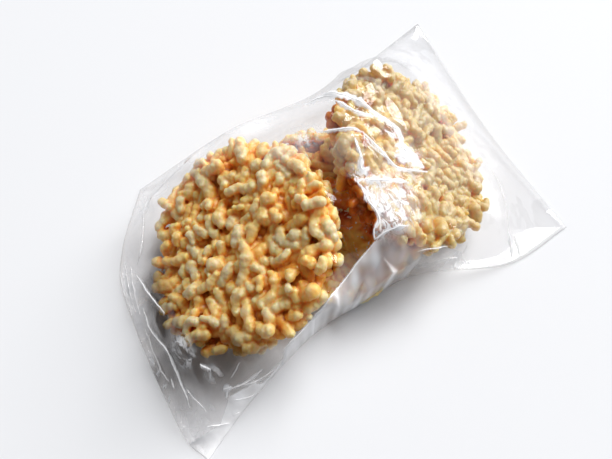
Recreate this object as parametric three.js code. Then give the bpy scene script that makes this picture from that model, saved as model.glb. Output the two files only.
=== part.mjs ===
// Three puffed-rice crackers sealed in a clear film bag that lies on a table.
// The bag is one solid out to its film: flat seams all round, with the film pulled tight over the crackers.
// Millimetres, +Z up. The origin is on the table, under the middle of the bag, and +X runs along the bag.

import * as THREE from "three";
import { ConvexHull } from "three/addons/math/ConvexHull.js";

// Crackers: the middle one lies flat, and each outer one leans off it towards its own end of the bag.
const CRACKER_THICKNESS = 13;
const RIM_ROUNDING = 4.5;
const RIM_POINTS = 40;
const CRACKERS = {
  left: { centre: [-35.7, -0.4, 23], radius: 36, leanX: -26, leanY: 8 },
  middle: { centre: [0, 0, 7.2], radius: 35.5, leanX: 0, leanY: 0 },
  right: { centre: [34.8, -1.8, 24.6], radius: 35, leanX: 29, leanY: -13 },
};

// Seams of the bag: corners and in-between points, each with its height over the table.
const LYING = 0.8;
const FAR_SIDE_LIFT = 8;
const CORNER_LIFT = 14;
const NEAR_LEFT = [-78, -57, LYING];
const NEAR_RIGHT = [84, -50, LYING];
const FAR_LEFT = [-60, 49, LYING];
const FAR_RIGHT = [80, 57, CORNER_LIFT];
const LEFT_END = [NEAR_LEFT, [-82.5, -42, LYING], [-82.5, 8, LYING], [-76, 28, LYING], FAR_LEFT];
const RIGHT_END = [NEAR_RIGHT, [82, 2, 3], FAR_RIGHT];
const NEAR_SIDE = [NEAR_LEFT, [-60, -49, LYING], [-38, -42, LYING], [-5, -37, LYING], [20, -37, LYING],
  [54, -51, LYING], NEAR_RIGHT];
const FAR_SIDE = [FAR_LEFT, [-18, 52, FAR_SIDE_LIFT], [8, 51, FAR_SIDE_LIFT], [34, 50, FAR_SIDE_LIFT],
  FAR_RIGHT];

// Film: how far it stands off what it covers, and how it rounds its creases and runs down to a seam.
const FILM_CLEARANCE = 0.8;
const LEAST_THICKNESS = 1.4;
const CREASE_ROUNDING = 2.5;
const CREASE_SAMPLES = 8;
const JOIN_ROUNDING = 2;
const SEAM_SHOULDER = 5;
const STEPS_ALONG = 60;
const STEPS_ACROSS = 38;

// Folds where slack film stands up in a ridge: both ends in plan, height, and half its width.
const FOLDS = [
  { from: [-78, 26], to: [-78, -46], height: 5, halfWidth: 7 },
  { from: [-64, -18], to: [-70, -56], height: 4, halfWidth: 6 },
  { from: [-54, -34], to: [-56, -54], height: 3, halfWidth: 6 },
  { from: [62, -30], to: [72, -54], height: 4, halfWidth: 7 },
  { from: [66, 28], to: [76, 52], height: 3, halfWidth: 7 },
];

/** A cracker's axis: upright, leaned by leanX degrees towards +X and leanY degrees towards +Y. */
function axisOf({ leanX, leanY }) {
  const x = Math.sin(THREE.MathUtils.degToRad(leanX));
  const y = Math.sin(THREE.MathUtils.degToRad(leanY));
  return new THREE.Vector3(x, y, Math.sqrt(1 - x * x - y * y));
}

/** Points of a cracker's rim: one ring round its middle, and a smaller one on each of its two faces. */
function rimOf(cracker) {
  const turn = new THREE.Quaternion().setFromUnitVectors(new THREE.Vector3(0, 0, 1), axisOf(cracker));
  const half = CRACKER_THICKNESS / 2;
  const rings = [
    [cracker.radius - RIM_ROUNDING, -half],
    [cracker.radius, 0],
    [cracker.radius - RIM_ROUNDING, half],
  ];
  const points = [];
  for (const [radius, height] of rings) {
    for (let i = 0; i < RIM_POINTS; i += 1) {
      const angle = (i / RIM_POINTS) * 2 * Math.PI;
      const point = new THREE.Vector3(radius * Math.cos(angle), radius * Math.sin(angle), height);
      points.push(point.applyQuaternion(turn).add(new THREE.Vector3(...cracker.centre)));
    }
  }
  return points;
}

/** Film pulled tight over some points: a function that gives its height over a place in plan. */
function tightFilm(points) {
  const planes = new ConvexHull()
    .setFromPoints(points)
    .faces.filter(({ normal }) => normal.z > 1e-4)
    .map(({ normal, constant }) => [-normal.x / normal.z, -normal.y / normal.z, constant / normal.z]);
  return (x, y) => Math.min(...planes.map(([a, b, c]) => a * x + b * y + c));
}

/** The top of the film at some seam points. */
function seamTops(points) {
  return points.map(([x, y, z]) => new THREE.Vector3(x, y, z + LEAST_THICKNESS / 2));
}

const overLeftPair = tightFilm([
  ...rimOf(CRACKERS.left),
  ...rimOf(CRACKERS.middle),
  ...seamTops([...LEFT_END, NEAR_SIDE[1], NEAR_SIDE[2], FAR_SIDE[1], FAR_SIDE[2]]),
]);
const overRightPair = tightFilm([
  ...rimOf(CRACKERS.right),
  ...rimOf(CRACKERS.middle),
  ...seamTops([...RIGHT_END, NEAR_SIDE[4], NEAR_SIDE[5], FAR_SIDE[2], FAR_SIDE[3]]),
]);

/** Height of the tight film: a valley between its two halves, with every crease rounded. */
function coverHeight(x, y) {
  let sum = 0;
  for (let i = 0; i <= CREASE_SAMPLES; i += 1) {
    const radius = i === 0 ? 0 : CREASE_ROUNDING;
    const angle = (i / CREASE_SAMPLES) * 2 * Math.PI;
    const place = [x + radius * Math.cos(angle), y + radius * Math.sin(angle)];
    sum += Math.max(overLeftPair(...place), overRightPair(...place));
  }
  return sum / (CREASE_SAMPLES + 1) + FILM_CLEARANCE;
}

/** How far the folds lift the film: most on a fold's line, running out at its ends and flanks. */
function foldLift(x, y) {
  let lift = 0;
  for (const { from, to, height, halfWidth } of FOLDS) {
    const along = [to[0] - from[0], to[1] - from[1]];
    const length = Math.hypot(...along);
    const share = ((x - from[0]) * along[0] + (y - from[1]) * along[1]) / length ** 2;
    const aside = Math.abs((x - from[0]) * along[1] - (y - from[1]) * along[0]) / length;
    const lengthwise = Math.sin(THREE.MathUtils.clamp(share, 0, 1) * Math.PI);
    const crosswise = 0.5 + 0.5 * Math.cos(Math.min(1, aside / halfWidth) * Math.PI);
    lift += height * lengthwise * crosswise;
  }
  return lift;
}

/** A smooth seam through its points. */
function seamCurve(points) {
  const places = points.map((point) => new THREE.Vector3(...point));
  return new THREE.CatmullRomCurve3(places, false, "centripetal");
}

const seams = {
  left: seamCurve(LEFT_END),
  right: seamCurve(RIGHT_END),
  near: seamCurve(NEAR_SIDE),
  far: seamCurve(FAR_SIDE),
};

/** A point of the sheet stretched between the four seams, a Coons patch: u along the bag, v across it. */
function sheetPoint(u, v) {
  const point = new THREE.Vector3();
  point.addScaledVector(seams.near.getPoint(u), 1 - v);
  point.addScaledVector(seams.far.getPoint(u), v);
  point.addScaledVector(seams.left.getPoint(v), 1 - u);
  point.addScaledVector(seams.right.getPoint(v), u);
  point.addScaledVector(seams.near.getPoint(0), -(1 - u) * (1 - v));
  point.addScaledVector(seams.near.getPoint(1), -u * (1 - v));
  point.addScaledVector(seams.far.getPoint(0), -(1 - u) * v);
  point.addScaledVector(seams.far.getPoint(1), -u * v);
  return point;
}

/** The film underneath lies on the table, and rises only towards the far side and the lifted corner. */
function underHeight({ x, y, z }) {
  const towardsFar = THREE.MathUtils.smoothstep(y, 36, 56);
  return Math.max(0, z - LYING) * towardsFar;
}

/** The film on top, run down to the seam over the last few millimetres before it. */
function topHeight(point, toSeam) {
  const cover = coverHeight(point.x, point.y);
  const least = underHeight(point) + LEAST_THICKNESS;
  const tight = (cover + least + Math.hypot(cover - least, JOIN_ROUNDING)) / 2;
  const loose = tight + foldLift(point.x, point.y);
  const shoulder = Math.min(1, toSeam / SEAM_SHOULDER);
  return point.z + (loose - point.z) * Math.sqrt(1 - (1 - shoulder) ** 2);
}

/** Both faces of the bag on one grid, joined along the seams, as one closed surface. */
function bagGeometry() {
  const positions = [];
  const topIds = [];
  const underIds = [];
  const length = NEAR_RIGHT[0] - NEAR_LEFT[0];
  const crowdEnds = (share) => 0.6 * share + 0.4 * (0.5 - 0.5 * Math.cos(share * Math.PI));
  for (let i = 0; i <= STEPS_ALONG; i += 1) {
    const u = crowdEnds(i / STEPS_ALONG);
    const width = sheetPoint(u, 1).y - sheetPoint(u, 0).y;
    for (let j = 0; j <= STEPS_ACROSS; j += 1) {
      const v = crowdEnds(j / STEPS_ACROSS);
      const point = sheetPoint(u, v);
      const toSeam = Math.min(u * length, (1 - u) * length, v * width, (1 - v) * width);
      const id = positions.length / 3;
      topIds.push(id);
      if (toSeam < 1e-6) {
        positions.push(point.x, point.y, point.z);
        underIds.push(id);
      } else {
        positions.push(point.x, point.y, topHeight(point, toSeam));
        positions.push(point.x, point.y, underHeight(point));
        underIds.push(id + 1);
      }
    }
  }
  const index = [];
  const row = STEPS_ACROSS + 1;
  for (let i = 0; i < STEPS_ALONG; i += 1) {
    for (let j = 0; j < STEPS_ACROSS; j += 1) {
      const corners = [i * row + j, (i + 1) * row + j, (i + 1) * row + j + 1, i * row + j + 1];
      const [a, b, c, d] = corners.map((k) => topIds[k]);
      const [e, f, g, h] = corners.map((k) => underIds[k]);
      index.push(a, b, c, a, c, d, e, g, f, e, h, g);
    }
  }
  const geometry = new THREE.BufferGeometry();
  geometry.setAttribute("position", new THREE.Float32BufferAttribute(positions, 3));
  geometry.setIndex(index);
  geometry.computeVertexNormals();
  return geometry;
}

const crackersInFilm = new THREE.MeshStandardMaterial({ color: 0xe8d3a4, roughness: 0.25, metalness: 0 });
const bag = new THREE.Mesh(bagGeometry(), crackersInFilm);
bag.name = "filled_bag";

const part = new THREE.Group();
part.add(bag);

export default part;
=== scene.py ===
"""Rice crackers in a clear bag: puffed-rice crackers, a patch of caramel, and the creased film round them."""
import bmesh
import bpy
import numpy as np
from mathutils import Matrix


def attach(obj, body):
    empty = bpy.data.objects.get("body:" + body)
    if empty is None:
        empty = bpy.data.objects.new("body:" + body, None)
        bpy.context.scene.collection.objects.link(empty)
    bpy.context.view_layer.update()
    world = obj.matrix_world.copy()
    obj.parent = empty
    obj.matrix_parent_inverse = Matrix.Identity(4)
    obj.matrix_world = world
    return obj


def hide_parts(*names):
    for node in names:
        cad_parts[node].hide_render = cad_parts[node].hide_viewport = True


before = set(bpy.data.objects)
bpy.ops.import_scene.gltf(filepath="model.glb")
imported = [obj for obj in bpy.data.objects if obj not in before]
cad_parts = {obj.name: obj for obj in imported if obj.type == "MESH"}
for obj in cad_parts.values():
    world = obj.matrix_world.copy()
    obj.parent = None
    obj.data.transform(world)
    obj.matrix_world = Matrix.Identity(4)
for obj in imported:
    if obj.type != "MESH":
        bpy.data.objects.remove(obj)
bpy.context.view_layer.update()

# ----------------------------------------------------------------------------------------------------------
# Crackers. Each is a round cake of popped glutinous rice, pressed while sticky: short bent grains that are
# stuck together at random, cream where they stand out and golden brown in the gaps, partly painted shade.
# One lies flat, and the other two lean off it towards the ends of the bag.
# ----------------------------------------------------------------------------------------------------------
# Sizes are in millimetres. A cracker leans by degrees towards +X and +Y, and the last value is how much
# browner it is all over; near the gap between the crackers the loop below adds painted shade to it.
MM = 0.001
CRACKERS = {
    "cracker_left": {
        "centre": (-35.7, -0.4, 23.0), "radius": 38.2, "lean": (-26.0, 8.0), "seed": 11, "toast_and_shade": 0.0},
    "cracker_middle": {
        "centre": (0.0, 0.0, 7.2), "radius": 35.6, "lean": (0.0, 0.0), "seed": 12, "toast_and_shade": 0.08},
    "cracker_right": {
        "centre": (34.8, -1.8, 24.6), "radius": 35.8, "lean": (29.0, -13.0), "seed": 13, "toast_and_shade": -0.12},
}
THICKNESS = 13.0
CARAMEL_AT = (7.0, -7.0)
GRAINS = 430
GRAIN_RADIUS, THINNEST_GRAIN, THICKEST_GRAIN = 1.9, 1.25, 2.4
LOBE_SHARES = [0.04, 0.08, 0.14, 0.19, 0.19, 0.15, 0.1, 0.07, 0.04]
BUMPS_PER_LOBE = 0.55
GLUED_OVERLAP = 0.79
SETTLING_TURNS = 72
SKIN_CELL = 0.52


def lean_matrix(lean):
    """Turns +Z to a cracker's axis, which leans lean[0] degrees towards +X and lean[1] degrees towards +Y."""
    x, y = np.sin(np.radians(lean))
    axis = np.array([x, y, np.sqrt(1.0 - x * x - y * y)])
    side = np.cross([0.0, 1.0, 0.0], axis)
    side /= np.linalg.norm(side)
    return np.stack([side, np.cross(axis, side), axis], axis=1)


def grain_chains(rng, count):
    """Popped grains, some stuck end to end, as bent chains of one to nine lobes lying along +X, round their
    own middles: the grain that each lobe belongs to, its place, and its size."""
    lobes = rng.choice(np.arange(1, 10), count, p=LOBE_SHARES)
    owner = np.repeat(np.arange(count), lobes)
    rank = np.arange(len(owner)) - np.repeat(np.cumsum(lobes) - lobes, lobes)
    radius = np.clip(GRAIN_RADIUS * np.exp(rng.normal(0.0, 0.17, count)), THINNEST_GRAIN, THICKEST_GRAIN)
    bend = rng.normal(0.0, 0.42, count)
    knobbly = np.where(rng.random(count) < 0.4, 0.12, 0.07)
    heading = bend[owner] * rank + rng.normal(0.0, 0.3, len(owner))
    step = radius[owner] * rng.uniform(0.75, 1.15, len(owner)) * (rank > 0)
    ahead = np.stack([np.cos(heading), np.sin(heading), rng.normal(0.0, 0.2, len(owner))], axis=1)
    place = np.cumsum(ahead * step[:, None], axis=0)
    place -= np.stack([np.bincount(owner, place[:, i]) / lobes for i in range(3)], axis=1)[owner]
    end = (rank == 0) | (rank == lobes[owner] - 1)
    uneven = 1.0 + knobbly[owner] * rng.normal(0.0, 1.0, len(owner))
    return owner, place, radius[owner] * uneven * np.where(end, 0.93, 1.03)


def grain_turns(rng, count, upright):
    """Random turns: a small roll about the grain's own length, a tilt out of the cracker's plane, then any
    heading, so that most grains bend sideways in the plane that they were pressed in."""
    spin = rng.normal(0.0, 0.4, count)
    tilt = rng.normal(0.0, 1.0, count) * upright
    heading = rng.uniform(0.0, 2.0 * np.pi, count)
    one, nil = np.ones(count), np.zeros(count)

    def about(c, s, rows):
        table = {"c": c, "s": s, "-s": -s, "1": one, "0": nil}
        return np.stack([np.stack([table[k] for k in row], axis=1) for row in rows], axis=1)

    turn_x = about(np.cos(spin), np.sin(spin), [["1", "0", "0"], ["0", "c", "-s"], ["0", "s", "c"]])
    turn_y = about(np.cos(tilt), np.sin(tilt), [["c", "0", "s"], ["0", "1", "0"], ["-s", "0", "c"]])
    turn_z = about(np.cos(heading), np.sin(heading), [["c", "-s", "0"], ["s", "c", "0"], ["0", "0", "1"]])
    return turn_z @ turn_y @ turn_x


def close_pairs(place, owner, reach):
    """Pairs of beads of different grains that are nearer than reach, found slab by slab along x."""
    order = np.argsort(place[:, 0])
    x = place[order, 0]
    firsts, seconds = [], []
    for start in range(0, len(order), 256):
        stop = min(start + 256, len(order))
        end = np.searchsorted(x, x[stop - 1] + reach)
        here, there = order[start:stop], order[start:end]
        gap2 = ((place[here, None, :] - place[None, there, :]) ** 2).sum(axis=2)
        rank = np.arange(start, stop)[:, None] < np.arange(start, end)[None, :]
        i, j = np.nonzero((gap2 < reach ** 2) & rank & (owner[here][:, None] != owner[there][None, :]))
        firsts.append(here[i])
        seconds.append(there[j])
    return np.concatenate(firsts), np.concatenate(seconds)


def packed_places(rng, owner, offset, size, radius):
    """Grain centres in a disc. Overlapping lobes of different grains push them apart, and lobes that pass the
    disc's rim or faces, which wave a little, push them back in."""
    count = owner[-1] + 1
    lobes = np.bincount(owner)
    reach = np.sqrt(rng.uniform(0.0, 1.0, count)) * (radius - 3.0)
    around = rng.uniform(0.0, 2.0 * np.pi, count)
    height = rng.uniform(-1.0, 1.0, count) * (THICKNESS / 2 - 1.5)
    centre = np.stack([reach * np.cos(around), reach * np.sin(around), height], axis=1)
    proud = rng.uniform(-2.4, 1.7, count)[owner]
    ragged = rng.normal(0.0, 0.8, count)[owner]
    phase = rng.uniform(0.0, 2.0 * np.pi, 6)
    for turn in range(SETTLING_TURNS):
        place = centre[owner] + offset
        if turn % 8 == 0:
            first, second = close_pairs(place, owner, reach=6.0)
        gap = place[second] - place[first]
        distance = np.sqrt((gap ** 2).sum(axis=1)) + 1e-9
        overlap = np.maximum(0.0, (size[first] + size[second]) * GLUED_OVERLAP - distance)
        push = gap * (0.5 * overlap / distance)[:, None]
        move = np.zeros_like(place)
        for axis in range(3):
            move[:, axis] = np.bincount(second, push[:, axis], len(place))
            move[:, axis] -= np.bincount(first, push[:, axis], len(place))
        radial = np.hypot(place[:, 0], place[:, 1]) + 1e-9
        angle = np.arctan2(place[:, 1], place[:, 0])
        rim = radius + ragged + 0.5 * np.sin(3.0 * angle + phase[0]) + 0.5 * np.sin(7.0 * angle + phase[1])
        move[:, :2] -= place[:, :2] * (np.maximum(0.0, radial - (rim - size)) / radial)[:, None]
        x, y = place[:, 0], place[:, 1]
        wave_x = np.sin(x * 0.33 + phase[2]) + np.sin(x * 0.19 + y * 0.27 + phase[3])
        wave_y = np.sin(y * 0.37 + phase[4]) + np.sin(y * 0.16 - x * 0.29 + phase[5])
        face = THICKNESS / 2 + proud + 0.36 * (wave_x + wave_y) - size
        move[:, 2] -= np.sign(place[:, 2]) * np.maximum(0.0, np.abs(place[:, 2]) - face)
        for axis in range(3):
            centre[:, axis] += 1.7 * np.bincount(owner, move[:, axis], count) / (lobes + 1.0)
    return centre


def popped_bumps(rng, place, size, owner):
    """Small bumps part sunk in the lobes, about one to every two lobes, as popped grain has: the lobe that
    each is on, its place and its size."""
    lobe = rng.integers(0, len(owner), int(BUMPS_PER_LOBE * len(owner)))
    aim = rng.normal(0.0, 1.0, (len(lobe), 3))
    aim /= np.linalg.norm(aim, axis=1, keepdims=True)
    return lobe, place[lobe] + 0.86 * size[lobe, None] * aim, size[lobe] * rng.uniform(0.34, 0.5, len(lobe))


def lobe_skins(rng, place, size):
    """A slightly lumpy ball round each lobe, as points, face corners and corner counts."""
    ball = bmesh.new()
    bmesh.ops.create_icosphere(ball, subdivisions=2, radius=1.0)
    unit = np.array([vertex.co for vertex in ball.verts])
    faces = np.array([[vertex.index for vertex in face.verts] for face in ball.faces])
    ball.free()
    lumpy = 1.0 + rng.normal(0.0, 0.045, (len(place), len(unit), 1))
    points = place[:, None, :] + unit * size[:, None, None] * lumpy
    corners = faces.ravel()[None, :] + len(unit) * np.arange(len(place))[:, None]
    return points.reshape(-1, 3), corners.ravel(), np.full(len(faces) * len(place), 3)


def put_mesh(name, points, corners, sizes, attributes):
    """A smooth mesh object at the origin, from points in millimetres, face corners and per-point values."""
    mesh = bpy.data.meshes.new(name)
    mesh.vertices.add(len(points))
    mesh.vertices.foreach_set("co", (np.asarray(points) * MM).astype(np.float32).ravel())
    mesh.loops.add(len(corners))
    mesh.loops.foreach_set("vertex_index", corners.astype(np.int32))
    mesh.polygons.add(len(sizes))
    mesh.polygons.foreach_set("loop_start", np.concatenate([[0], np.cumsum(sizes)[:-1]]).astype(np.int32))
    mesh.update(calc_edges=True)
    mesh.validate()
    mesh.polygons.foreach_set("use_smooth", np.ones(len(sizes), dtype=bool))
    for key, values in attributes.items():
        layer = mesh.attributes.new(key, "FLOAT", "POINT")
        layer.data.foreach_set("value", np.asarray(values, dtype=np.float32))
    piece = bpy.data.objects.new(name, mesh)
    bpy.context.scene.collection.objects.link(piece)
    return piece


def fused_skin(points, corners, sizes, cell):
    """One skin round many overlapping closed shapes: a voxel remesh. Gives points, outward directions,
    corners and corner counts, in millimetres."""
    loose = put_mesh("loose_grains", points, corners, sizes, {})
    skin = loose.modifiers.new("fuse", "REMESH")
    skin.mode = "VOXEL"
    skin.voxel_size = cell * MM
    mesh = bpy.data.meshes.new_from_object(loose.evaluated_get(bpy.context.evaluated_depsgraph_get()))
    places, outward = np.empty(len(mesh.vertices) * 3), np.empty(len(mesh.vertices) * 3)
    mesh.vertices.foreach_get("co", places)
    mesh.vertex_normals.foreach_get("vector", outward)
    ring, counts = np.empty(len(mesh.loops), dtype=np.int32), np.empty(len(mesh.polygons), dtype=np.int32)
    mesh.loops.foreach_get("vertex_index", ring)
    mesh.polygons.foreach_get("loop_total", counts)
    bpy.data.objects.remove(loose)
    bpy.data.meshes.remove(mesh)
    return places.reshape(-1, 3) / MM, outward.reshape(-1, 3), ring, counts


def nearest_grains(points, beads, bead_radius, owner):
    """For each point the grain whose skin is nearest, and how much further off the next grain's skin is:
    nothing on the seam between two grains. Worked slab by slab along x."""
    order, line = np.argsort(points[:, 0]), np.argsort(beads[:, 0])
    points, beads, owner = points.astype(np.float32), beads[line].astype(np.float32), owner[line]
    square, bead_radius = (beads * beads).sum(axis=1), bead_radius[line].astype(np.float32)
    grain, lead = np.zeros(len(points), dtype=int), np.zeros(len(points))
    for start in range(0, len(points), 1024):
        part = order[start:start + 1024]
        here = points[part]
        near = slice(*np.searchsorted(beads[:, 0], [here[0, 0] - 4.0, here[-1, 0] + 4.0]))
        distance2 = (here * here).sum(axis=1)[:, None] + square[None, near] - 2.0 * here @ beads[near].T
        gap = np.sqrt(np.maximum(distance2, 0.0)) - bead_radius[None, near]
        first = np.argmin(gap, axis=1)
        grain[part] = owner[near][first]
        others = np.where(owner[None, near] == grain[part][:, None], 99.0, gap)
        lead[part] = others.min(axis=1) - gap[np.arange(len(part)), first]
    return grain, lead


def shelter(points, outward, beads, bead_radius):
    """How shut in each point is: the sum over the beads near it of the bead's share of the sky, (radius /
    distance) squared, times how squarely the point faces it; the grain colour uses it as painted shade. Worked
    slab by slab along x."""
    points, outward = (points + 0.6 * outward).astype(np.float32), outward.astype(np.float32)
    order, line = np.argsort(points[:, 0]), np.argsort(beads[:, 0])
    beads, bead_radius = beads[line].astype(np.float32), bead_radius[line]
    square, reach = (beads * beads).sum(axis=1), (bead_radius ** 2).astype(np.float32)
    result = np.zeros(len(points))
    for start in range(0, len(points), 2048):
        part = order[start:start + 2048]
        here, facing = points[part], outward[part]
        near = slice(*np.searchsorted(beads[:, 0], [here[0, 0] - 6.0, here[-1, 0] + 6.0]))
        distance2 = (here * here).sum(axis=1)[:, None] + square[None, near] - 2.0 * here @ beads[near].T
        faced = facing @ beads[near].T - (facing * here).sum(axis=1)[:, None]
        counts = (distance2 < 36.0) & (faced > 0.0)
        distance2 = np.maximum(distance2, reach[None, near])
        result[part] = np.where(counts, faced * reach[None, near] / distance2 ** 1.5, 0.0).sum(axis=1)
    return result


def widened(top, times):
    """A grid of heights in which each cell has taken the highest of its neighbours', some times over."""
    for _ in range(times):
        for axis in (0, 1):
            top = np.maximum(top, np.maximum(np.roll(top, 1, axis), np.roll(top, -1, axis)))
    return top


def evened(top, times):
    """A grid of heights in which each cell has been averaged with its neighbours, some times over."""
    for _ in range(times):
        for axis in (0, 1):
            top = (np.roll(top, 1, axis) + 2.0 * top + np.roll(top, -1, axis)) / 4.0
    return top


def envelope(x, y, z, cell=0.8, half_width=40.0):
    """Outer skin over scattered points: the highest z in each cell of a grid, widened to its neighbours and
    evened out, and read back at every point."""
    ix = ((x + half_width) / cell).astype(int)
    iy = ((y + half_width) / cell).astype(int)
    top = np.full((int(2.0 * half_width / cell) + 2,) * 2, -50.0)
    np.maximum.at(top, (ix, iy), z)
    return evened(widened(top, 3), 3)[ix, iy]


def knobbles(points, rng, wavelength, waves=14):
    """Smooth random bumps in space, about -1 to 1: a sum of sine waves in random directions."""
    aim = rng.normal(0.0, 1.0, (waves, 3))
    pace = 2.0 * np.pi / wavelength * rng.uniform(0.75, 1.35, (waves, 1))
    aim *= pace / np.linalg.norm(aim, axis=1, keepdims=True)
    return np.sin(points @ aim.T + rng.uniform(0.0, 2.0 * np.pi, waves)).sum(axis=1) / np.sqrt(waves)


def closed_rings(rings, top, bottom):
    """A closed skin over a stack of rings: four-sided faces from ring to ring, and a fan to a pole at each
    end. Gives points, face corners and corner counts."""
    count, around = rings.shape[:2]
    j = np.arange(around)
    k = (j + 1) % around
    i = np.arange(count - 1)[:, None] * around
    quads = np.stack([i + j, i + around + j, i + around + k, i + k], axis=2).reshape(-1, 4)
    last, pole = (count - 1) * around, count * around
    caps = np.concatenate([
        np.stack([np.full(around, pole), j, k], axis=1),
        np.stack([np.full(around, pole + 1), last + k, last + j], axis=1)])
    corners = np.concatenate([quads.ravel(), caps.ravel()])
    sizes = np.concatenate([np.full(len(quads), 4), np.full(len(caps), 3)])
    return np.concatenate([rings.reshape(-1, 3), [top, bottom]]), corners, sizes


def core_shape(radius, rows=24, around=72, half_height=2.4):
    """A flattened ball that fills the inside of a cracker, where no single grain can be seen."""
    v = (np.arange(rows) + 0.5) / rows * np.pi
    u = np.arange(around) / around * 2.0 * np.pi
    reach = (radius - 6.0) * np.sin(v)[:, None] ** 0.35
    lumps = 0.5 * np.sin(9.0 * u)[None, :] * np.sin(v)[:, None]
    height = half_height * np.cos(v)[:, None] + 0.4 * np.sin(reach * 0.9 + 5.0 * u[None, :])
    rings = np.stack([(reach + lumps) * np.cos(u), (reach + lumps) * np.sin(u), height], axis=2)
    return closed_rings(rings, [0.0, 0.0, half_height], [0.0, 0.0, -half_height])


def cracker_skin(radius, seed):
    """One cracker in its own frame, flat about z = 0: its grains fused into one skin, and each point's depth
    under the outer envelope, its grain's tint, how shut in it is, and how near a seam between grains."""
    rng = np.random.default_rng(seed)
    owner, offset, size = grain_chains(rng, GRAINS)
    offset = np.einsum("nij,nj->ni", grain_turns(rng, GRAINS, upright=0.22)[owner], offset)
    lobes = packed_places(rng, owner, offset, size, radius)[owner] + offset
    lobe, bumps, bump_size = popped_bumps(rng, lobes, size, owner)
    balls, ball_size = np.concatenate([lobes, bumps]), np.concatenate([size, bump_size])
    loose, corners, sizes = lobe_skins(rng, balls, ball_size)
    core, core_corners, core_sizes = core_shape(radius)
    corners = np.concatenate([corners, core_corners + len(loose)])
    sizes = np.concatenate([sizes, core_sizes])
    points, outward, corners, sizes = fused_skin(np.concatenate([loose, core]), corners, sizes, SKIN_CELL)
    grain, lead = nearest_grains(points, balls, ball_size, np.concatenate([owner, owner[lobe]]))
    seam = np.exp(-((lead / 0.5) ** 2))
    relief = 0.12 * knobbles(points, rng, 2.9) + 0.07 * knobbles(points, rng, 1.6) - 0.45 * seam
    points = points + outward * relief[:, None]
    x, y, z = points.T
    depth = np.minimum(envelope(x, y, z) - z, envelope(x, y, -z) + z)
    depth = np.minimum(depth, radius + 0.8 - np.hypot(x, y))
    return points, corners, sizes, {
        "depth": np.clip(depth, 0.0, 8.0), "tint": rng.uniform(0.0, 1.0, GRAINS)[grain],
        "occlusion_shade": shelter(points, outward, lobes, size * 0.9), "seam": seam}


def feed(node, *in_order, **by_name):
    """Sets a node's inputs, in their order or by name, and its other settings by name. What is a socket of
    another node is joined to the input."""
    for key, value in [*enumerate(in_order), *by_name.items()]:
        if isinstance(key, str) and key not in node.inputs:
            setattr(node, key, value)
        elif isinstance(value, bpy.types.NodeSocket):
            node.id_data.links.new(value, node.inputs[key])
        else:
            node.inputs[key].default_value = value
    return node


def new_material(name):
    """A material, a short way to add nodes to it, and its plain shader."""
    material = bpy.data.materials.new(name)
    material.use_nodes = True
    nodes = material.node_tree.nodes

    def add(kind, *in_order, **by_name):
        return feed(nodes.new("ShaderNode" + kind), *in_order, **by_name)

    return material, add, nodes["Principled BSDF"]


def colour_along(add, source, stops):
    """The colour on a ramp of (position, colour) stops, at the place that a source gives."""
    node = add("ValToRGB", Fac=source)
    ramp = node.color_ramp
    while len(ramp.elements) > 1:
        ramp.elements.remove(ramp.elements[-1])
    ramp.elements[0].position, ramp.elements[0].color = stops[0][0], (*stops[0][1], 1.0)
    for position, colour in stops[1:]:
        ramp.elements.new(position).color = (*colour, 1.0)
    return node.outputs["Color"]


def puffed_rice_material(name, shades, gap_brown_and_shade, scatter):
    """Grain colour along a ramp: each grain's own tint and browning, plus how deep, how shut in and how near a
    seam the place is, times how much browner the gaps are made, plus mottling, over a fine bubbly bump. The
    browning in the gaps is partly real and partly painted shade. Light scatters this far into the grains, in
    metres."""
    material, add, shader = new_material(name)
    place = add("TexCoord").outputs["Object"]
    mottle = add("TexNoise", Vector=place, Scale=380.0, Detail=3.0, Roughness=0.6).outputs["Fac"]
    browned_and_shaded = add("TexNoise", Vector=place, Scale=70.0, Detail=1.0).outputs["Fac"]
    # Depth, shelter and seams brown the colour: partly the real browner gaps, partly painted shade in the
    # hollows.
    weights = {"tint": 0.28, "toast_and_shade": 1.0, "depth": 0.1 * gap_brown_and_shade, "occlusion_shade": 0.34 * gap_brown_and_shade,
               "seam": 0.14 * gap_brown_and_shade}
    brown = add("Math", browned_and_shaded, 0.2, -0.28, operation="MULTIPLY_ADD").outputs[0]
    brown = add("Math", mottle, 0.3, brown, operation="MULTIPLY_ADD").outputs[0]
    for key, weight in weights.items():
        source = add("Attribute", attribute_name=key).outputs["Fac"]
        brown = add("Math", source, weight, brown, operation="MULTIPLY_ADD").outputs[0]
    bubbles = add("TexVoronoi", Vector=place, Scale=1000.0, feature="SMOOTH_F1").outputs["Distance"]
    lumps = add("TexNoise", Vector=place, Scale=650.0, Detail=4.0, Roughness=0.65).outputs["Fac"]
    relief = add("Math", bubbles, lumps, operation="ADD").outputs[0]
    bump = add("Bump", Strength=0.42, Distance=0.0005, Height=relief).outputs["Normal"]
    feed(shader, **{
        "Base Color": colour_along(add, brown, shades), "Normal": bump, "Roughness": 0.36,
        "Specular IOR Level": 0.5, "Subsurface Weight": 1.0, "Subsurface Radius": (1.0, 0.65, 0.3),
        "Subsurface Scale": scatter})
    return material


rice = puffed_rice_material("puffed_rice", gap_brown_and_shade=1.0, scatter=0.004, shades=[
    (0.0, (0.68, 0.60, 0.39)), (0.16, (0.75, 0.60, 0.32)), (0.34, (0.86, 0.56, 0.19)),
    (0.58, (0.86, 0.43, 0.09)), (0.85, (0.77, 0.29, 0.04)), (1.0, (0.56, 0.17, 0.018))])
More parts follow.
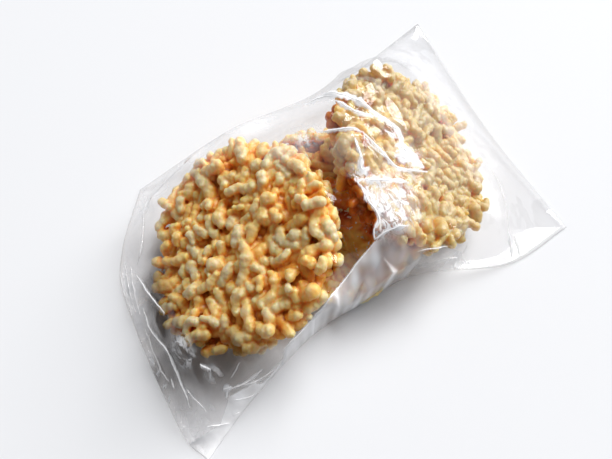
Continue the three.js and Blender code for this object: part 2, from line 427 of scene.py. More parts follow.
# The right cracker's rice is a darker copy with softer gaps: painted shade that offsets the stronger window
# light on it and the film's veil over it.
rice_darkened_for_window = puffed_rice_material("puffed_rice_darkened_for_window", gap_brown_and_shade=0.7, scatter=0.008, shades=[
    (0.0, (0.50, 0.395, 0.21)), (0.16, (0.52, 0.395, 0.185)), (0.34, (0.58, 0.405, 0.15)),
    (0.58, (0.70, 0.42, 0.12)), (0.78, (0.71, 0.31, 0.05)), (1.0, (0.4, 0.1, 0.012))])

cracker_skins = []
for name, made in CRACKERS.items():
    points, corners, sizes, values = cracker_skin(made["radius"], made["seed"])
    below_face = THICKNESS / 2 - points[:, 2]
    points = points @ lean_matrix(made["lean"]).T + np.array(made["centre"])
    points[:, 2] += max(0.0, 0.4 - points[:, 2].min())
    cracker_skins.append(points)
    values["toast_and_shade"] = np.full(len(points), made["toast_and_shade"])
    # Round the caramel the middle cracker is painted browner: partly caramelised, partly painted shade in the
    # gap between the leaning crackers.
    if name == "cracker_middle":
        from_blob = np.hypot((points[:, 0] - CARAMEL_AT[0]) / 15.0, (points[:, 1] - CARAMEL_AT[1]) / 24.0)
        values["toast_and_shade"] += 0.42 * np.exp(-from_blob ** 2)
    # The right cracker's side below its face, towards the gap on its left, is painted browner as shade of the
    # gap, and a little paler about y = 5.
    if name == "cracker_right":
        browned_and_shaded = 1.0 - 1.15 * np.exp(-((points[:, 1] - 5.0) / 8.0) ** 2)
        browned_and_shaded *= np.clip((below_face - 2.5) / 3.5, 0.0, 1.0)
        values["toast_and_shade"] += 0.95 * browned_and_shaded * np.clip((22.0 - points[:, 0]) / 8.0, 0.0, 1.0)
    cracker = put_mesh(name, points, corners, sizes, values)
    cracker.data.materials.append(rice_darkened_for_window if name == "cracker_right" else rice)
    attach(cracker, "root")
    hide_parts("filled_bag")

# ----------------------------------------------------------------------------------------------------------
# Caramel. A puddle of dark sugar syrup that set on the flat cracker, glossy, and filling the gaps between its
# grains. It is a closed mound that follows the grains under it.
# ----------------------------------------------------------------------------------------------------------
CARAMEL_HALF_WIDTH, CARAMEL_HALF_LENGTH = 12.5, 19.0


def height_map(points, cell, low, shape):
    """The highest point in each square cell of a plan grid, each cell widened to its neighbours."""
    index = ((points[:, :2] - low) / cell).astype(int)
    top = np.zeros(shape)
    np.maximum.at(top, (index[:, 0], index[:, 1]), points[:, 2])
    return widened(top, 1)


def read_map(top, cell, low, x, y):
    """Heights of a plan grid at any places, evened out between the four nearest cells."""
    gx, gy = (x - low[0]) / cell - 0.5, (y - low[1]) / cell - 0.5
    ix, iy = np.floor(gx).astype(int), np.floor(gy).astype(int)
    fx, fy = gx - ix, gy - iy
    near = top[ix, iy] * (1 - fy) + top[ix, iy + 1] * fy
    return near * (1 - fx) + (top[ix + 1, iy] * (1 - fy) + top[ix + 1, iy + 1] * fy) * fx


def caramel_shape(skin, around=96, rings=34):
    """A mound with a wavy rim: over each place the skin's highest point nearby, evened out, plus a bell
    curve, less a little more towards the rim, with an underside 3 mm down in the grains."""
    angle = np.arange(around) / around * 2.0 * np.pi
    edge = 1.0 + 0.14 * np.sin(3.0 * angle + 1.0) + 0.08 * np.sin(5.0 * angle) + 0.05 * np.sin(9.0 * angle)
    share = (np.arange(rings)[:, None] + 0.5) / rings
    x = CARAMEL_AT[0] + CARAMEL_HALF_WIDTH * share * edge * np.cos(angle)
    y = CARAMEL_AT[1] + CARAMEL_HALF_LENGTH * share * edge * np.sin(angle)
    cell, low = 0.6, np.array([-60.0, -60.0])
    tops = height_map(skin, cell, low, (200, 200))
    for _ in range(3):
        tops = sum(np.roll(tops, move, (0, 1)) for move in ((1, 0), (-1, 0), (0, 1), (0, -1), (0, 0))) / 5.0
    bed = read_map(tops, cell, low, x, y)
    mound = 8.0 * np.exp(-((x - CARAMEL_AT[0]) / 8.0) ** 2 - ((y - CARAMEL_AT[1]) / 13.0) ** 2)
    z = bed + mound - 0.3 - 2.8 * share ** 6
    lumps = np.stack([x, y, z], axis=2).reshape(-1, 3)
    rng = np.random.default_rng(4)
    z = z + (0.3 * knobbles(lumps, rng, 2.6) + 0.6 * knobbles(lumps, rng, 5.5)).reshape(z.shape)
    upper = np.stack([x, y, z], axis=2)
    lower = np.stack([x, y, bed - 3.3 - 2.8 * share ** 6], axis=2)[::-1]
    return closed_rings(np.concatenate([upper, lower]), upper[0].mean(axis=0), lower[-1].mean(axis=0))


def caramel_material(name):
    """Dark amber sugar glass: smooth and glossy, with fine crystals that break up its shine, and white flecks
    in its colour that are partly sugar crystals and partly painted glints.
    """
    material, add, shader = new_material(name)
    place = add("TexCoord").outputs["Object"]
    swirls = add("TexNoise", Vector=place, Scale=95.0, Detail=2.0, Roughness=0.5).outputs["Fac"]
    thick = add("Attribute", attribute_name="thick").outputs["Fac"]
    darker = add("Math", thick, -0.15, swirls, operation="MULTIPLY_ADD").outputs[0]
    shade = colour_along(add, darker, [
        (0.3, (0.45, 0.05, 0.012)), (0.45, (0.95, 0.27, 0.04)), (0.6, (0.99, 0.54, 0.11))])
    # White flecks in the colour: partly sugar crystals, partly painted glints.
    sugar = add("TexNoise", Vector=place, Scale=430.0, Detail=2.0, Roughness=0.5).outputs["Fac"]
    grains = colour_along(add, sugar, [(0.6, (0.0, 0.0, 0.0)), (0.65, (0.95, 0.95, 0.95))])
    flecked_with_glints = add("MixRGB", Fac=grains, Color1=shade, Color2=(0.97, 0.85, 0.75, 1.0)).outputs["Color"]
    crystals = add("TexNoise", Vector=place, Scale=900.0, Detail=3.0, Roughness=0.6).outputs["Fac"]
    bump = add("Bump", Strength=0.8, Distance=0.0006, Height=crystals).outputs["Normal"]
    feed(shader, **{
        "Base Color": flecked_with_glints, "Normal": bump, "Roughness": 0.16, "Coat Weight": 0.6, "Coat Roughness": 0.06,
        "Subsurface Weight": 0.6, "Subsurface Radius": (1.0, 0.35, 0.1), "Subsurface Scale": 0.003})
    return material


points, corners, sizes = caramel_shape(cracker_skins[1])
thickest = np.exp(-((points[:, 0] - 4.0) / 5.0) ** 2 - ((points[:, 1] + 7.0) / 6.0) ** 2)
caramel = put_mesh("caramel", points, corners, sizes, {"thick": thickest})
caramel.data.materials.append(caramel_material("caramel_rice"))
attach(caramel, "root")
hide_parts("filled_bag")

# ----------------------------------------------------------------------------------------------------------
# Film. A tube of thin clear film, sealed flat across both ends and pulled tight over the crackers, so that it
# stands on their rims like a tent, with folds and creases where the slack is pressed together.
# ----------------------------------------------------------------------------------------------------------
BAG_LENGTH, BAG_DEPTH = 168.0, 105.0
LYING, FAR_SIDE_LIFT, CORNER_LIFT = 0.8, 8.0, 14.0
UNDERSIDE = 0.15
NEAR_LEFT, NEAR_RIGHT = (-78, -57, LYING), (84, -50, LYING)
FAR_LEFT, FAR_RIGHT = (-60, 49, LYING), (80, 57, CORNER_LIFT)
SEAMS = {
    "left": [NEAR_LEFT, (-82.5, -42, LYING), (-82.5, 8, LYING), (-76, 28, LYING), FAR_LEFT],
    "right": [NEAR_RIGHT, (82, 2, 3), FAR_RIGHT],
    "near": [NEAR_LEFT, (-60, -48.5, LYING), (-38, -40.8, LYING), (-22, -37, LYING), (-5, -36.5, LYING),
             (20, -37, LYING), (54, -51, LYING), NEAR_RIGHT],
    "far": [FAR_LEFT, (-18, 52, FAR_SIDE_LIFT), (8, 51, FAR_SIDE_LIFT), (34, 50, FAR_SIDE_LIFT), FAR_RIGHT],
}
ALONG, ACROSS = 346, 228
FILM_CELL = 0.49


def smooth_line(points, count):
    """Points on a smooth curve through a few given ones: on each stretch a cubic whose slope at each given
    point is half the step between that point's neighbours."""
    knots = np.array(points, dtype=float)
    padded = np.concatenate([[2 * knots[0] - knots[1]], knots, [2 * knots[-1] - knots[-2]]])
    t = np.linspace(0.0, len(knots) - 1.0, count)
    i = np.minimum(t.astype(int), len(knots) - 2)
    f = (t - i)[:, None]
    before, here, there, after = padded[i], padded[i + 1], padded[i + 2], padded[i + 3]
    squared = 2.0 * before - 5.0 * here + 4.0 * there - after
    cubed = 3.0 * here - before - 3.0 * there + after
    return 0.5 * (2.0 * here + (there - before) * f + squared * f ** 2 + cubed * f ** 3)


def sheet_between(seams, along, across):
    """A sheet stretched between four seams: the two ruled sheets of opposite seams, less the corners' own."""
    u = np.linspace(0.0, 1.0, along)[:, None, None]
    v = np.linspace(0.0, 1.0, across)[None, :, None]
    near, far = smooth_line(seams["near"], along)[:, None], smooth_line(seams["far"], along)[:, None]
    left, right = smooth_line(seams["left"], across)[None], smooth_line(seams["right"], across)[None]
    near_corners, far_corners = (1 - u) * near[:1] + u * near[-1:], (1 - u) * far[:1] + u * far[-1:]
    return (near - near_corners) * (1 - v) + (far - far_corners) * v + left * (1 - u) + right * u


def taut_heights(edge, floor_heights, bulge):
    """Film held at its edges and pulled over what it covers, with a little air under it: every height is the
    mean of its neighbours' plus a little, unless what is under it holds it up. Solved from coarse to fine."""
    z = None
    for step in (8, 4, 2, 1):
        rows, columns = (np.unique(np.append(np.arange(0, count, step), count - 1)) for count in edge.shape)
        under, rim = floor_heights[np.ix_(rows, columns)], edge[np.ix_(rows, columns)]
        if z is None:
            z = np.maximum(under, rim)
        else:
            z = np.stack([np.interp(rows, last_rows, column) for column in z.T], axis=1)
            z = np.stack([np.interp(columns, last_columns, row) for row in z], axis=0)
        last_rows, last_columns = rows, columns
        for _ in range(160):
            z[0], z[-1], z[:, 0], z[:, -1] = rim[0], rim[-1], rim[:, 0], rim[:, -1]
            inner = 0.25 * (z[2:, 1:-1] + z[:-2, 1:-1] + z[1:-1, 2:] + z[1:-1, :-2])
            z[1:-1, 1:-1] = np.maximum(inner + bulge * (FILM_CELL * step) ** 2 / 4.0, under[1:-1, 1:-1])
    return z


def zigzag(t):
    """A wave of straight ramps between -1 and 1."""
    return 4.0 * np.abs(t - np.floor(t + 0.5)) - 1.0


def crumple(rng, x, y, slope):
    """Flat facets with sharp creases between them: zigzag waves in random directions, bent a little."""
    bent_x = x + 2.5 * np.sin(y / 9.0 + 1.0) + 1.2 * np.sin(x / 5.0)
    bent_y = y + 2.5 * np.sin(x / 11.0) + 1.2 * np.sin(y / 6.0 + 2.0)
    height = np.zeros_like(x)
    for wavelength in (23.0, 17.0, 12.5, 9.0, 6.8, 5.2):
        turn, shift = rng.uniform(0.0, np.pi), rng.uniform(0.0, 1.0)
        across = bent_x * np.cos(turn) + bent_y * np.sin(turn)
        height += slope * wavelength / 4.0 * zigzag(across / wavelength + shift)
    return height


# Where slack film is crumpled into facets: middle, reach, and how strongly.
CRUMPLED = [
    ((14, -14), 12, 1.0), ((20, 12), 14, 0.6), ((-72, -30), 20, 0.9), ((-80, 10), 14, 0.6),
    ((58, -42), 16, 0.7), ((76, 44), 16, 0.5), ((-8, 40), 16, 0.35), ((-50, 44), 12, 0.3), ((70, 0), 18, 0.2),
]
# Where it is crinkled finely and painted white with glints and glare, partly the film's own whitening:
# middle, reach, and how strongly.
CRINKLES_AND_GLINTS = [
    ((10, -15), 6.5, 1.0), ((12, -20), 7.5, 1.0), ((8, -21), 5.5, 1.0), ((17, -18.5), 5.0, 0.6),
    ((27, -7), 5.0, 0.5), ((-67.5, -22), 3.6, 0.9), ((-67, -26), 3.2, 0.8), ((-61, -35), 2.8, 0.6),
    ((0, 14), 4.0, 0.6), ((7, -6.5), 3.0, 0.8), ((20, -12), 8.0, 0.3), ((-2, -14), 3.2, 0.5),
    ((15, -23), 5.0, 0.6),
]
# Where it is painted with a white veil, a painted reflection of bright surroundings: middle, reach, and how
# strongly.
REFLECTED_VEIL = [
    ((-10, 41), 14, 0.3), ((-34, 42), 13, 0.3), ((-56, 38), 12, 0.3), ((14, 44), 10, 0.25),
    ((6, -32), 6, 0.5), ((12, -36), 5, 0.4), ((-79.5, 8), 8, 0.65), ((-79.5, -3), 6.5, 0.68),
    ((-3, 17), 10, 0.22), ((11, -18), 9, 0.35), ((38, 0), 26, 0.08), ((7.5, 2), 7, 0.1),
    ((-76, -48), 14, 0.3), ((-78, 12), 14, 0.15), ((-79, -20), 10, 0.1),
]
# Where the film is painted darker, a painted shadow of the crackers seen through it, partly layers of crumpled
# film taking light away: middle, reach, and how strongly.
PAINTED_SHADOWS = [
    ((-64, -28), 10, 0.62), ((-55, -34), 8, 0.75), ((-71, -3), 6, 1.0), ((-72, -11), 9, 0.95),
    ((-69, 3), 7, 0.9), ((-75, -25), 9, 0.95), ((-48, -37), 6, 0.6), ((-76, -36), 6, 0.5),
    ((-79, -23), 6, 0.95),
]
# The crease painted white with glare left of the patch of crinkles, and the fold that the near wall of the
# bag hangs from.
WHITE_CREASE = [(4.5, -7.5), (5.5, -12), (5, -15), (6, -18.5), (5.5, -21.5), (3, -23), (2, -25.5)]
NEAR_FOLD = [(2, -26), (-4.2, -28.1), (-10.1, -30.4), (-16.2, -33.2), (-22.3, -36), (-29.8, -38),
             (-36, -39.7), (-42, -41.7), (-50, -44)]
# Creases: a line in plan, half its width, how far its ridge stands up, and how white it is painted: painted
# glare along the crease, partly the film's own whitening.
CREASES = [
    (WHITE_CREASE, 0.55, 0.0, 1.0), (NEAR_FOLD, 0.35, 0.0, 0.75),
    ([(9, 31), (12, 27), (15, 22)], 2.3, 0.5, 0.9), ([(14, 26), (18, 19), (22, 13)], 1.5, 0.8, 0.95),
    ([(20, 16), (24, 9.5), (27, 5), (28, 1), (26, -3)], 1.2, 0.9, 0.95),
    ([(13, 21), (15, 16), (18, 12), (23, 9)], 0.8, 0.7, 0.9), ([(23, 3), (26, 0.5)], 0.9, 0.4, 0.8),
    ([(25, -2), (27, -5), (30, -11)], 2.1, 0.7, 0.95), ([(22, -5), (27, -8)], 1.5, 0.5, 0.9),
    ([(4, 12), (8, 9.5), (12, 7.5), (15, 5)], 0.75, 0.8, 0.95),
    ([(15, 5), (16.5, -0.5), (18.5, -5.5), (21, -9.5), (26, -11.5), (31, -13)], 0.65, 0.8, 0.95),
    ([(14, 3.5), (16, -2.5), (19.5, -7)], 0.4, 0.3, 0.4), ([(11.5, 4), (10, 0), (9, -4.5)], 0.5, 0.6, 0.85),
    ([(9, -3), (8, -6), (10, -6.5)], 1.2, 0.5, 0.9),
    ([(5.5, -8.5), (10, -10.5), (17, -13), (21, -15)], 0.8, 0.6, 0.95),
    ([(2.5, -25.5), (7.5, -25.5), (13, -27)], 0.6, 0.4, 0.85),
    ([(-72.8, 11.5), (-71, 2), (-68, -9)], 0.4, 0.4, 0.8),
    ([(-58.5, 39.5), (-63, 27), (-67.5, 18), (-71, 15)], 0.6, 0.3, 0.3),
    ([(-75.5, -1), (-76, -8), (-74.5, -14), (-73, -19), (-73, -25), (-73.5, -34.5), (-74.5, -39.5)],
     0.5, 0.7, 0.8),
    ([(-78.5, -7), (-78.5, -13), (-79, -23.5), (-77.5, -28)], 0.4, 0.4, 0.4),
    ([(-82, -16.5), (-81, -19.5)], 1.2, 0.4, 0.9),
    ([(-82, -23), (-79.5, -22.5)], 0.55, 0.3, 0.8), ([(-82, -28), (-79, -28.5)], 0.5, 0.3, 0.8),
    ([(-82, -34), (-80, -31.5)], 0.5, 0.3, 0.8), ([(-76.5, -28), (-77, -31)], 0.4, 0.3, 0.6),
    ([(-64, -30.5), (-61.5, -33.5)], 0.55, 0.3, 0.9), ([(-61, -40.5), (-58.5, -41)], 0.9, 0.4, 0.8),
    ([(-60, -41), (-62, -43)], 0.6, 0.3, 0.7), ([(-57, -39), (-51.5, -36.5)], 0.3, 0.2, 0.45),
    ([(-64, -48), (-61.5, -48.5)], 0.9, 0.3, 0.7), ([(-72.5, -47.5), (-66, -50)], 0.5, 0.3, 0.6),
    ([(-72.5, -34), (-70.5, -40), (-70, -43.5)], 0.5, 0.3, 0.3),
    ([(-80, 20), (-81, 10), (-81.5, 2)], 0.7, 0.5, 0.35),
    ([(-76, 20), (-78, 10), (-79.5, 0)], 0.6, 0.5, 0.35), ([(-74, 17), (-76, 8), (-78, -2)], 0.5, 0.5, 0.3),
    ([(55, -41), (55, -45), (55.5, -49.5)], 0.6, 0.5, 0.6), ([(57.5, -44), (59, -50.5)], 0.5, 0.4, 0.5),
    ([(14, -34), (18.5, -35.5), (24, -37)], 0.4, 0.3, 0.4),
    ([(24, -39), (29.5, -40.5), (38, -43.5)], 0.5, 0.4, 0.4),
    ([(63, -14), (62.5, -24), (59, -34), (55, -41)], 0.35, 0.3, 0.2),
    ([(-60.5, -41), (-54, -41.8), (-47.6, -41)], 0.35, 0.2, 0.5),
    ([(-58, -41.8), (-50, -42.8), (-42, -41.3)], 0.3, 0.2, 0.5),
    ([(-62, -43.5), (-57, -45.6), (-52, -45.6)], 0.3, 0.2, 0.5),
]
# The long crease from the top of the right cracker's inner rim down to the table: points with their heights.
LONG_CREASE = [(5.5, -5, 45.5), (5.2, -16, 44), (4.6, -23, 40.5), (1.8, -26, 37), (-7.4, -28.8, 24.5),
               (-16.2, -31.4, 15), (-26.7, -36.1, 6), (-40.3, -42.1, 1.5)]
RIGHT_SLOPE, LEFT_SLOPE, END_SLOPE = 1.1, 0.95, 1.2


def off_line(x, y, line):
    """How far each place in plan is from a bent line, the least distance to any of its straight stretches,
    and how far along the line from 0 to 1 that is."""
    least, along = np.full(x.shape, 1e9), np.zeros(x.shape)
    for i, ((x0, y0), (x1, y1)) in enumerate(zip(line[:-1], line[1:])):
        run = (x1 - x0) ** 2 + (y1 - y0) ** 2
        share = np.clip(((x - x0) * (x1 - x0) + (y - y0) * (y1 - y0)) / run, 0.0, 1.0)
        away = np.hypot(x - x0 - share * (x1 - x0), y - y0 - share * (y1 - y0))
        along = np.where(away < least, (i + share) / (len(line) - 1), along)
        least = np.minimum(least, away)
    return least, along


def on_crease(x, y, start, stop):
    """Height of the film hanging from one straight stretch of a crease, which falls off in straight slopes to
    the right and left of the way it runs, and past its ends."""
    (x0, y0, z0), (x1, y1, z1) = start, stop
    reach = np.hypot(x1 - x0, y1 - y0)
    along = ((x - x0) * (x1 - x0) + (y - y0) * (y1 - y0)) / reach
    aside = ((x - x0) * (y1 - y0) - (y - y0) * (x1 - x0)) / reach
    beyond = np.maximum(0.0, -along) + np.maximum(0.0, along - reach)
    crest = z0 + (z1 - z0) * np.clip(along / reach, 0.0, 1.0)
    return crest - np.where(aside > 0.0, RIGHT_SLOPE * aside, -LEFT_SLOPE * aside) - END_SLOPE * beyond


def zones(x, y, table):
    """The strongest of several round zones at each place: strength times a soft-edged disc."""
    amount = np.zeros(x.shape)
    for (middle_x, middle_y), reach, strength in table:
        amount = np.maximum(amount, strength * np.exp(-(np.hypot(x - middle_x, y - middle_y) / reach) ** 3))
    return amount


# The upper film: a taut tent over what the crackers hold up, crumpled where it is slack, with its creases.
sheet = sheet_between(SEAMS, ALONG, ACROSS)
plan_x, plan_y = sheet[..., 0], sheet[..., 1]
map_cell, map_low = 0.7, np.array([-95.0, -70.0])
held_up = height_map(np.concatenate(cracker_skins), map_cell, map_low, (280, 200))
held_up = read_map(evened(widened(held_up, 3), 3), map_cell, map_low, plan_x, plan_y) + 0.25
tent = taut_heights(sheet[..., 2], np.maximum(held_up, 0.9), bulge=0.007)
u = np.linspace(0.0, 1.0, ALONG)[:, None]
v = np.linspace(0.0, 1.0, ACROSS)[None, :]
from_edge = np.minimum(np.minimum(u, 1.0 - u) * BAG_LENGTH, np.minimum(v, 1.0 - v) * BAG_DEPTH)
slack = np.clip(from_edge / 5.0, 0.0, 1.0)
rng = np.random.default_rng(5)
creased = tent + slack * (0.08 + zones(plan_x, plan_y, CRUMPLED)) * (crumple(rng, plan_x, plan_y, 0.09) + 0.6)
for start, stop in zip(LONG_CREASE[:-1], LONG_CREASE[1:]):
    creased = np.maximum(creased, on_crease(plan_x, plan_y, start, stop))
plan = np.stack([plan_x, plan_y, 0.0 * plan_x], axis=2).reshape(-1, 3)
patchy = knobbles(plan, rng, 5.0).reshape(plan_x.shape)
streaky = knobbles(plan, rng, 1.9).reshape(plan_x.shape)
white = np.zeros(plan_x.shape)
# Each crease raises a ridge and is painted white along it: painted glare, partly the film's own whitening.
for line, width, ridge, crease_glare_white in CREASES:
    away, along = off_line(plan_x, plan_y, smooth_line(line, 4 * len(line) - 3))
    taper = np.clip(5.0 * along * (1.0 - along), 0.3, 1.0) ** 0.7
    away = away / (width * taper)
    creased += ridge * taper * np.clip(from_edge, 0.0, 1.0) * np.exp(-(away / 1.3) ** 2)
    white = np.maximum(white, crease_glare_white * np.clip(1.9 + 0.4 * patchy + 0.4 * streaky - 1.5 * away, 0.0, 1.0))
top_film = sheet.copy()
top_film[..., 2] = np.maximum(creased, 0.5)
top_film[0, :, 2], top_film[-1, :, 2] = sheet[0, :, 2], sheet[-1, :, 2]
top_film[:, 0, 2], top_film[:, -1, 2] = sheet[:, 0, 2], sheet[:, -1, 2]

# Its looks: crinkles and painted glints, and a white veil of painted reflection, only to the right of the
# white crease; the painted veil all down the near wall under the fold and down the steep side on the right;
# painted shadow at the left end; and a little white along its seams.
crease_x, crease_y = np.array(WHITE_CREASE).T
beside_crease = (plan_x >= -20.0) & (plan_y < crease_y[0] + 1.0) & (plan_y > -29.0)
right_of_crease = np.clip((plan_x - np.interp(-plan_y, -crease_y, crease_x)) / 0.7, 0.0, 1.0)
right_of_crease = np.where(beside_crease, right_of_crease, 1.0)
reflected_veil = zones(plan_x, plan_y, REFLECTED_VEIL) * right_of_crease
crinkle_and_glint = zones(plan_x, plan_y, CRINKLES_AND_GLINTS) * right_of_crease
fold_x, fold_y = np.append([(-69.0, -49.0), (-61.0, -43.0), (-52.0, -43.0)], NEAR_FOLD[::-1], axis=0).T
near_wall = (plan_y < np.interp(plan_x, fold_x, fold_y)) * np.clip((16.0 - plan_x) / 14.0, 0.0, 1.0)
painted_shadow = zones(plan_x, plan_y, PAINTED_SHADOWS) * (1.0 - 0.85 * near_wall)
reflected_veil = np.maximum(reflected_veil, np.where(plan_x < -26.0, 0.84, 0.62) * near_wall)
white = np.maximum(white, reflected_veil * (1.0 + 0.3 * patchy))
white = np.maximum(white, 0.22 * np.clip(1.6 - from_edge / 0.5, 0.0, 1.0))
# A painted veil of reflected window light down the steep right side.
steep_side_veil = np.clip((plan_x - 46.5 - 0.0035 * (plan_y + 5.0) ** 2) / 4.0, 0.0, 1.0)
steep_side_veil *= np.clip((74.0 - plan_x) / 8.0, 0.0, 1.0) * np.clip((plan_y + 26.0) / 10.0, 0.0, 1.0)
white = np.maximum(white, steep_side_veil * (0.15 + 0.07 * patchy))


def film_height(x, y):
    """The upper sheet's height at places in plan: at the nearest point of its grid, plus the slopes there
    times the way to the place, but no higher or lower than that point's neighbours."""
    nearest = np.empty(len(x), dtype=int)
    grid_x, grid_y = top_film[..., 0].ravel().astype(np.float32), top_film[..., 1].ravel().astype(np.float32)
    for start in range(0, len(x), 128):
        part = slice(start, start + 128)
        nearest[part] = np.argmin((grid_x - x[part, None]) ** 2 + (grid_y - y[part, None]) ** 2, axis=1)
    i, j = np.clip(nearest // ACROSS, 1, ALONG - 2), np.clip(nearest % ACROSS, 1, ACROSS - 2)
    here, after, before = top_film[i, j], top_film[i + 1, j], top_film[i - 1, j]
    above, below = top_film[i, j + 1], top_film[i, j - 1]
    du, dv = (after - before) / 2.0, (above - below) / 2.0
    dx, dy = x - here[:, 0], y - here[:, 1]
    det = du[:, 0] * dv[:, 1] - du[:, 1] * dv[:, 0]
    a = np.clip((dx * dv[:, 1] - dy * dv[:, 0]) / det, -0.5, 0.5)
    b = np.clip((du[:, 0] * dy - du[:, 1] * dx) / det, -0.5, 0.5)
    around = np.stack([here, after, before, above, below])[..., 2]
    return np.clip(here[:, 2] + a * du[:, 2] + b * dv[:, 2], around.min(axis=0), around.max(axis=0))


def pressed_edge(line, half_width, step=0.3):
    """A crease's sharp edge: a thin flat strip along the line and just over the film, jagged, of uneven width
    and pointed at its ends, as points and face corners, four to a face."""
    length = np.hypot(*np.diff(np.array(line), axis=0).T).sum()
    count = max(8, int(length / step))
    path = smooth_line(line, count)
    share = np.linspace(0.0, 1.0, count)
    ahead = np.gradient(path, axis=0)
    left = np.stack([-ahead[:, 1], ahead[:, 0]], axis=1) / np.linalg.norm(ahead, axis=1, keepdims=True)
    jag_at = np.arange(0.0, length + 3.0, 1.5)
    jag = np.interp(np.arange(count) * step, jag_at, rng.normal(0.0, 0.13, len(jag_at)))
    path = path + left * jag[:, None]
    wide = half_width * np.clip(4.0 * share * (1.0 - share), 0.02, 1.0) ** 0.5 * rng.uniform(0.55, 1.2, count)
    height = film_height(path[:, 0], path[:, 1])
    for _ in range(2):
        height = np.convolve(np.pad(height, 3, mode="edge"), np.ones(7) / 7.0, mode="valid")
    height = height[:, None] + 0.1
    side = left * wide[:, None]
    ring = np.stack([np.hstack([path + side, height]), np.hstack([path, height + 0.08]),
                     np.hstack([path - side, height]), np.hstack([path, height - 0.08])], axis=1)
    j = np.arange(4)
    k = (j + 1) % 4
    i = np.arange(count - 1)[:, None] * 4
    quads = np.stack([i + j, i + k, i + 4 + k, i + 4 + j], axis=2).reshape(-1, 4)
    caps = np.array([[3, 2, 1, 0], [0, 1, 2, 3]]) + np.array([[0], [4 * count - 4]])
    return ring.reshape(-1, 3), np.concatenate([quads, caps])


# The lower film starts from the same rim and shrinks ring by ring to its middle, flat on the table.
ids = np.arange(ALONG * ACROSS).reshape(ALONG, ACROSS)
rim = np.concatenate([ids[:-1, 0], ids[-1, :-1], ids[:0:-1, -1], ids[0, :0:-1]])
rim_points = top_film.reshape(-1, 3)[rim]
shrink = np.array([0.03, 0.08, 0.15, 0.25, 0.4, 0.65])[:, None, None]
lower = rim_points[None] * (1.0 - shrink)
fall = np.clip(1.0 - np.linalg.norm(lower[..., :2] - rim_points[None, :, :2], axis=2) / 16.0, 0.0, 1.0)
lower[..., 2] = UNDERSIDE + (rim_points[None, :, 2] - UNDERSIDE) * fall ** 2
lower_ids = ALONG * ACROSS + np.arange(lower[..., 0].size).reshape(lower.shape[:2])
ring_ids = np.concatenate([rim[None], lower_ids])
middle = lower_ids[-1, -1] + 1
film_points = np.concatenate([top_film.reshape(-1, 3), lower.reshape(-1, 3), [[0.0, 0.0, UNDERSIDE]]])
upper_quads = np.stack([ids[:-1, :-1], ids[1:, :-1], ids[1:, 1:], ids[:-1, 1:]], axis=2).reshape(-1, 4)
after = np.roll(ring_ids, -1, axis=1)
lower_quads = np.stack([ring_ids[:-1], ring_ids[1:], after[1:], after[:-1]], axis=2).reshape(-1, 4)
lower_tip = np.stack([ring_ids[-1], np.full(len(rim), middle), after[-1]], axis=1)
corners = np.concatenate([upper_quads.ravel(), lower_quads.ravel(), lower_tip.ravel()])
sizes = np.concatenate([np.full(len(upper_quads) + len(lower_quads), 4), np.full(len(lower_tip), 3)])

# The creases' sharp edges lie on the upper film, and are painted whiter than the film round them, as lines of
# glare.
film_white = [white.ravel(), np.zeros(middle + 1 - white.size)]
for line, width, _, crease_glare_white in CREASES:
    edge_points, edge_quads = pressed_edge(line, min(0.3, 0.55 * width))
    corners = np.concatenate([corners, (edge_quads + len(film_points)).ravel()])
    sizes = np.concatenate([sizes, np.full(len(edge_quads), 4)])
    film_points = np.concatenate([film_points, edge_points])
    film_white.append(np.full(len(edge_points), min(1.0, 1.3 * crease_glare_white)))
beyond_top = np.zeros(len(film_points) - white.size)
film = put_mesh("film_bag", film_points, corners, sizes, {
    "white": np.concatenate(film_white),
    "crinkle_and_glint": np.concatenate([crinkle_and_glint.ravel(), beyond_top]),
    "painted_shadow": np.concatenate([painted_shadow.ravel(), beyond_top])})


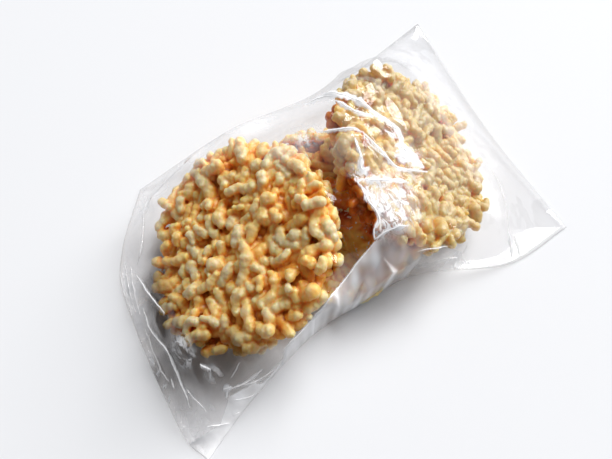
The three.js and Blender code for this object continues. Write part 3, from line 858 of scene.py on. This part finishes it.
def clear_film_material(name):
    """Thin clear film: lets light straight through, mirrors more of it the flatter it is looked along, is
    painted white with glare, glints and a reflected veil where it is creased or has fine crinkles, and takes
    more light away, as painted shadow, where layers are crumpled together."""
    material, add, plain_shader = new_material(name)
    material.node_tree.nodes.remove(plain_shader)
    crinkle_and_glint, white, painted_shadow = (
        add("Attribute", attribute_name=key).outputs["Fac"] for key in ("crinkle_and_glint", "white", "painted_shadow"))
    drawn_out = add("Mapping", Vector=add("TexCoord").outputs["Object"], Rotation=(0.0, 0.0, 0.35),
                    Scale=(1.0, 0.55, 0.55)).outputs["Vector"]
    crinkles = add("TexNoise", Vector=drawn_out, Scale=520.0, Detail=5.0, Roughness=0.66,
                   Distortion=0.9).outputs["Fac"]
    patches = add("MapRange", **{"Value": crinkles, "From Min": 0.455, "From Max": 0.575}).outputs["Result"]
    # White from painted glare, glints and veil, partly the film's own whitening, mixes in a white diffuse
    # shader.
    glare_and_whitening = add("Math", crinkle_and_glint, patches, white, operation="MULTIPLY_ADD", use_clamp=True).outputs[0]
    bump = add("Bump", Distance=0.0012, Strength=crinkle_and_glint, Height=crinkles).outputs["Normal"]
    # Painted shadow: the film lets less light through where it is marked darker.
    painted_shadow_tint = colour_along(add, painted_shadow, [(0.0, (0.99, 0.99, 0.995)), (1.0, (0.32, 0.3, 0.29))])
    through = add("BsdfTransparent", Color=painted_shadow_tint).outputs[0]
    mirror = add("BsdfGlossy", Roughness=0.05, Normal=bump).outputs[0]
    milky_glare = add("BsdfDiffuse", Color=(0.93, 0.93, 0.94, 1.0)).outputs[0]
    slant = add("LayerWeight", Blend=0.5).outputs["Facing"]
    mirrored = add("MapRange", **{
        "Value": add("Math", slant, 4.0, operation="POWER").outputs[0], "To Min": 0.032, "To Max": 0.95})
    gloss = add("MixShader", mirrored.outputs["Result"], through, mirror).outputs[0]
    seen = add("MixShader", glare_and_whitening, gloss, milky_glare).outputs[0]
    clear = add("BsdfTransparent", Color=(0.99, 0.985, 0.98, 1.0)).outputs[0]
    shaded = add("BsdfTransparent", Color=(0.4, 0.39, 0.38, 1.0)).outputs[0]
    shadow = add("MixShader", add("Math", slant, 3.5, operation="POWER").outputs[0], clear, shaded).outputs[0]
    is_shadow = add("LightPath").outputs["Is Shadow Ray"]
    feed(material.node_tree.nodes["Material Output"],
         Surface=add("MixShader", is_shadow, seen, shadow).outputs[0])
    return material


film.data.materials.append(clear_film_material("clear_film"))
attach(film, "root")
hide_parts("filled_bag")

# ----------------------------------------------------------------------------------------------------------
# Table, light and camera. The bag lies on a plain pale table, lit softly from its right by two wide windows,
# and is looked down on from its near side, a little from the left.
# ----------------------------------------------------------------------------------------------------------
table_mesh = bpy.data.meshes.new("table")
table_mesh.from_pydata([(-3, -3, 0), (3, -3, 0), (3, 3, 0), (-3, 3, 0)], [], [(0, 1, 2, 3)])
table = bpy.data.objects.new("table", table_mesh)
bpy.context.scene.collection.objects.link(table)
paper, _, paper_shader = new_material("white_table")
feed(paper_shader, **{"Base Color": (0.75, 0.755, 0.77, 1.0), "Roughness": 0.8, "Specular IOR Level": 0.2})
table_mesh.materials.append(paper)

world = bpy.data.worlds.new("room")
world.use_nodes = True
feed(world.node_tree.nodes["Background"], Color=(0.93, 0.95, 1.0, 1.0), Strength=0.255)
bpy.context.scene.world = world
world.cycles_visibility.glossy = False


def facing_bag(towards, distance, target):
    """Where a light or a camera is placed: in a direction (degrees round from -Y, degrees up) at a distance
    from a target, which it faces, with its own up side up."""
    turn, rise = np.radians(towards)
    back = np.array([np.sin(turn) * np.cos(rise), -np.cos(turn) * np.cos(rise), np.sin(rise)])
    right = np.array([np.cos(turn), np.sin(turn), 0.0])
    place = np.eye(4)
    place[:3, :3] = np.stack([right, np.cross(back, right), back], axis=1)
    place[:3, 3] = np.asarray(target) + back * distance
    return Matrix(place.tolist())


def window_light(name, towards, size, power):
    """A soft white light of a width and a height, 6 m off."""
    lamp = bpy.data.lights.new(name, "AREA")
    lamp.shape = "RECTANGLE"
    lamp.size, lamp.size_y = size
    lamp.energy = power
    window = bpy.data.objects.new(name, lamp)
    window.matrix_world = facing_bag(towards, 6.0, (0.0, 0.0, 0.0))
    bpy.context.scene.collection.objects.link(window)


window_light("window", towards=(98.0, 30.0), size=(2.25, 3.0), power=277.0)
window_light("far_window", towards=(122.0, 49.0), size=(2.4, 2.4), power=313.0)

camera_data = bpy.data.cameras.new("camera")
camera_data.sensor_width = 36.0
camera_data.lens = 27.1765
camera_data.clip_start = 0.01
camera = bpy.data.objects.new("camera", camera_data)
camera.matrix_world = facing_bag((-29.0, 69.8), 176.0 * MM, np.array([-9.9, -2.8, 10.0]) * MM)
bpy.context.scene.collection.objects.link(camera)
bpy.context.scene.camera = camera
bpy.context.scene.view_settings.view_transform = "Standard"
